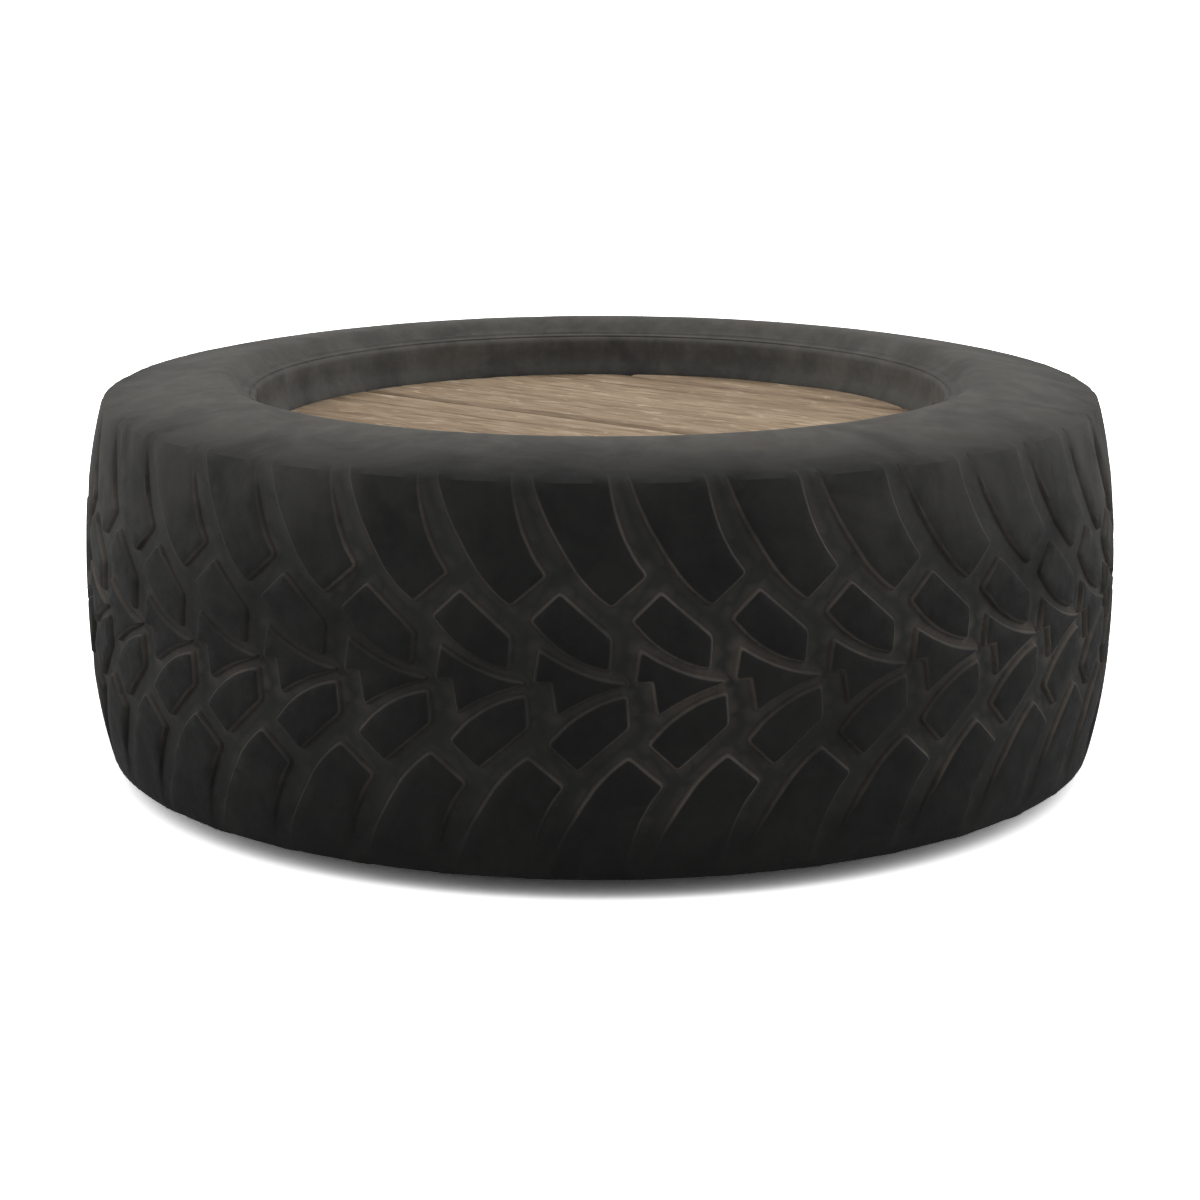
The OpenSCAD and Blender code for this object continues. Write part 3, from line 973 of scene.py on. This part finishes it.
# Grain: how often it changes along and across the plank, the detail, the roughness and the twist
BAND = (2.6, 24, 4, 0.62, 0.3)
STREAK = (14, 90, 5, 0.66, 0.25)
FIBRE = (26, 210, 5, 0.68, 0.1)
SPECK = (45, 120, 4, 0.6, 0.4)
SPLIT = (2.2, 110, 3, 0.5, 0.2)
BAND_SHARE = 0.46
WOOD_TONE = (0.36, 0.64)
FIBRE_DARK = (0.32, 0.58, 0.7, 0.0)
SPECK_PALE = (0.56, 0.68, 0.0, 0.6)
SPLIT_LINE = (0.27, 0.33, 1.0, 0.0)
SPLIT_DARK = 0.55
WOOD_ROUGH = (0.74, 0.88)
WOOD_SHINE = 0.2
TONE_BUMP, FIBRE_BUMP, SPLIT_BUMP = (0.35, 0.0012), (0.5, 0.0006), (-0.6, 0.0006)
PLANK_SHIFT = (3.7, 0.31)  # how many metres apart the planks' grain is taken, along and down

PLANK_COLORS = {"dark": (131, 112, 90), "light": (157, 138, 115), "stain": (102, 84, 65),
                "pale": (178, 161, 139), "deep": (78, 61, 45)}
BATTEN_COLORS = {"dark": (112, 96, 78), "light": (152, 136, 113), "stain": (90, 72, 56),
                 "pale": (168, 152, 130), "deep": (70, 56, 43)}


def grain(n, place, along, over, detail, rough, twist):
    stretched = n.vector("MULTIPLY", place, (along, over, over)).outputs["Vector"]
    return n.noise(1.0, detail, rough, stretched, twist)


def add_stains(n, place, streak, color, deep, pale):
    """Lays the stains over the wood, each a line that wavers a little and is stronger in places."""
    parts = n.split(place)
    x = n.times(parts[0], 1 / MM)
    y = n.plus(n.times(parts[1], 1 / MM), n.span(n.noise(**STAIN_WAVER), *WAVER_SPAN))
    patchy = n.span(streak, *STAIN_PATCHES)
    for middle, half, start, end, strength in STAINS:
        off = n.math("ABSOLUTE", n.math("SUBTRACT", y, middle))
        near = n.span(off, 0.0, half, abs(strength), 0.0)
        near = n.times(near, n.span(x, start, start + STAIN_FADE, 0.0, 1.0))
        near = n.times(near, n.span(x, end - STAIN_FADE, end, 1.0, 0.0))
        color = n.mix(n.times(near, patchy), color, deep if strength > 0 else pale)
    # the board darker in patches towards its edge
    from_axis = n.vector("LENGTH", n.combine(x, y)).outputs["Value"]
    rim = n.span(from_axis, BOARD_R - RIM_DARKER_REACH, BOARD_R, 0.0, RIM_DARK)
    return n.mix(n.times(rim, n.span(n.noise(**RIM_NOISE), *RIM_PATCHES)), color, deep)


def wood_material(name, colors, stained):
    n = material_nodes(name)
    dark, light, stain, pale, deep = (srgb(*color) for color in colors.values())
    turn = n.add("ShaderNodeVectorRotate", rotation_type="Z_AXIS")
    n.put(turn.inputs["Vector"], n.place)
    turn.inputs["Angle"].default_value = -PLANK_TURN
    along_grain = turn.outputs[0]
    plank = n.attribute("plank")
    shift = n.combine(x=n.times(plank, PLANK_SHIFT[0]), z=n.times(plank, PLANK_SHIFT[1]))
    place = n.vector("ADD", along_grain, shift).outputs["Vector"]
    band, streak = grain(n, place, *BAND), grain(n, place, *STREAK)
    fibre, speck, split = (grain(n, place, *kind) for kind in (FIBRE, SPECK, SPLIT))

    tone = n.plus(n.times(band, BAND_SHARE), n.times(streak, 1 - BAND_SHARE))
    color = n.mix(n.span(tone, *WOOD_TONE), dark, light)
    color = n.mix(n.span(fibre, *FIBRE_DARK), color, stain)
    color = n.mix(n.span(speck, *SPECK_PALE), color, pale)
    line = n.span(split, *SPLIT_LINE)
    color = n.mix(n.times(line, SPLIT_DARK), color, deep)
    if stained:
        color = add_stains(n, along_grain, streak, color, deep, pale)
    normal = n.bump(tone, *TONE_BUMP)
    normal = n.bump(fibre, *FIBRE_BUMP, normal)
    normal = n.bump(line, *SPLIT_BUMP, normal)
    return n.finish(color, n.span(tone, *WOOD_TONE, *WOOD_ROUGH), normal, WOOD_SHINE)


planks_wood = wood_material("weathered_planks", PLANK_COLORS, stained=True)
for seed, node in enumerate(SPANS):
    make_plank(node, seed + 1).data.materials.append(planks_wood)


# ---- the battens and the screws, which keep their CAD meshes ----
RUST = {"scale": 420.0, "detail": 5, "rough": 0.65}
RUST_FINE = {"scale": 1600.0, "detail": 3, "rough": 0.6}
RUSTY = (0.42, 0.62)  # the part of the noise over which steel turns into rust
RUST_SPECKS = (0.4, 0.7, 0.0, 0.35)
STEEL_ROUGH = (0.4, 0.65, 0.38, 0.85)
STEEL_METAL = (0.9, 0.05)
STEEL_BUMP = (0.3, 0.0002)
STEEL_SHINE = 0.5
STEEL_COLOR = srgb(138, 134, 128)
RUST_COLOR = srgb(104, 66, 42)
SPECK_COLOR = srgb(66, 46, 34)


def steel_material():
    n = material_nodes("screw_steel")
    rust, fine = n.noise(**RUST), n.noise(**RUST_FINE)
    color = n.mix(n.span(rust, *RUSTY), STEEL_COLOR, RUST_COLOR)
    color = n.mix(n.span(fine, *RUST_SPECKS), color, SPECK_COLOR)
    metallic = n.span(rust, *RUSTY, *STEEL_METAL)
    return n.finish(color, n.span(rust, *STEEL_ROUGH), n.bump(fine, *STEEL_BUMP), STEEL_SHINE, metallic)


def cad_material(node, material):
    """Gives a CAD node that stays in sight a material of its own."""
    for slot in frame["nodes"][node].material_slots:
        slot.material = material


batten_wood = wood_material("batten_wood", BATTEN_COLORS, stained=False)
for node in ("batten_1", "batten_2"):
    cad_material(node, batten_wood)
cad_material("screws", steel_material())


# ---- stage, light and camera ----
FLOOR_SEEN = 1.9  # the camera sees the floor this light, and the tyre is lit by one
FLOOR_TONE = 0.55  # of this tone
FLOOR_GRIT = {"scale": 40.0, "detail": 3, "rough": 0.5}
FLOOR_VARIES = (0.0, 1.0, 0.985, 1.0)
FLOOR_HALF = 40.0  # metres

SKY_TOP = 0.46
SKY_LEFT = 2.85
SKY_RIGHT = 2.9
SIDE_RISE = math.radians(25)  # how high the light from each side comes
SIDE_FOCUS = 4.0  # how closely the light from the sides keeps to its direction
SKY_FRONT = 0.06
SKY_BACK = 0.5

AIM_HEIGHT = 0.0995
CAMERA_RISE = math.radians(13.05)
CAMERA_DISTANCE = 2.048
LENS, SENSOR = 95.0, 36.0


def floor_material():
    """Pale and matt: white to the camera wherever it is fully lit, so that only the shadow is grey."""
    n = material_nodes("pale_floor")
    camera_sees = n.add("ShaderNodeLightPath").outputs["Is Camera Ray"]
    tone = n.span(camera_sees, 0.0, 1.0, FLOOR_TONE, FLOOR_SEEN)
    tone = n.times(tone, n.span(n.noise(**FLOOR_GRIT), *FLOOR_VARIES))
    paint = n.add("ShaderNodeBsdfDiffuse")
    n.put(paint.inputs["Color"], n.combine(tone, tone, tone))
    n.put(n.tree.nodes["Material Output"].inputs["Surface"], paint.outputs[0])
    return n.owner


def make_stage():
    corners = [(x * FLOOR_HALF, y * FLOOR_HALF, 0) for x, y in ((-1, -1), (1, -1), (1, 1), (-1, 1))]
    mesh = bpy.data.meshes.new("floor")
    mesh.from_pydata(corners, [], [(0, 1, 2, 3)])
    floor = bpy.data.objects.new("floor", mesh)
    bpy.context.collection.objects.link(floor)
    mesh.materials.append(floor_material())


def make_light():
    """A soft room: bright to both sides, less so overhead and behind the tyre, and dim in front of it.

    The camera sees white.
    """
    world = bpy.data.worlds.new("soft_room")
    bpy.context.scene.world = world
    n = Nodes(world, "Generated")
    x, y, z = n.split(n.place)
    raised = n.times(z, math.sin(SIDE_RISE))
    light = n.times(n.above_zero(z), SKY_TOP)
    for side, strength in ((-1.0, SKY_LEFT), (1.0, SKY_RIGHT)):
        toward = n.plus(n.times(x, side * math.cos(SIDE_RISE)), raised)
        lobe = n.math("POWER", n.above_zero(toward), SIDE_FOCUS)
        light = n.plus(light, n.times(lobe, strength))
    light = n.plus(light, n.times(n.above_zero(y), SKY_BACK))
    light = n.plus(light, n.times(n.above_zero(n.times(y, -1.0)), SKY_FRONT))
    camera_sees = n.add("ShaderNodeLightPath").outputs["Is Camera Ray"]
    back = n.tree.nodes["Background"]
    back.inputs["Color"].default_value = (1, 1, 1, 1)
    n.put(back.inputs["Strength"], n.math("MAXIMUM", camera_sees, light))


def make_camera():
    camera = bpy.data.cameras.new("camera")
    camera.lens = LENS
    camera.sensor_width = SENSOR
    item = bpy.data.objects.new("camera", camera)
    aim = Vector((0, 0, AIM_HEIGHT))
    item.location = aim + CAMERA_DISTANCE * Vector((0, -math.cos(CAMERA_RISE), math.sin(CAMERA_RISE)))
    item.rotation_euler = (aim - item.location).to_track_quat("-Z", "Y").to_euler()
    bpy.context.collection.objects.link(item)
    bpy.context.scene.camera = item


make_stage()
make_light()
make_camera()
bpy.context.scene.view_settings.view_transform = "Standard"
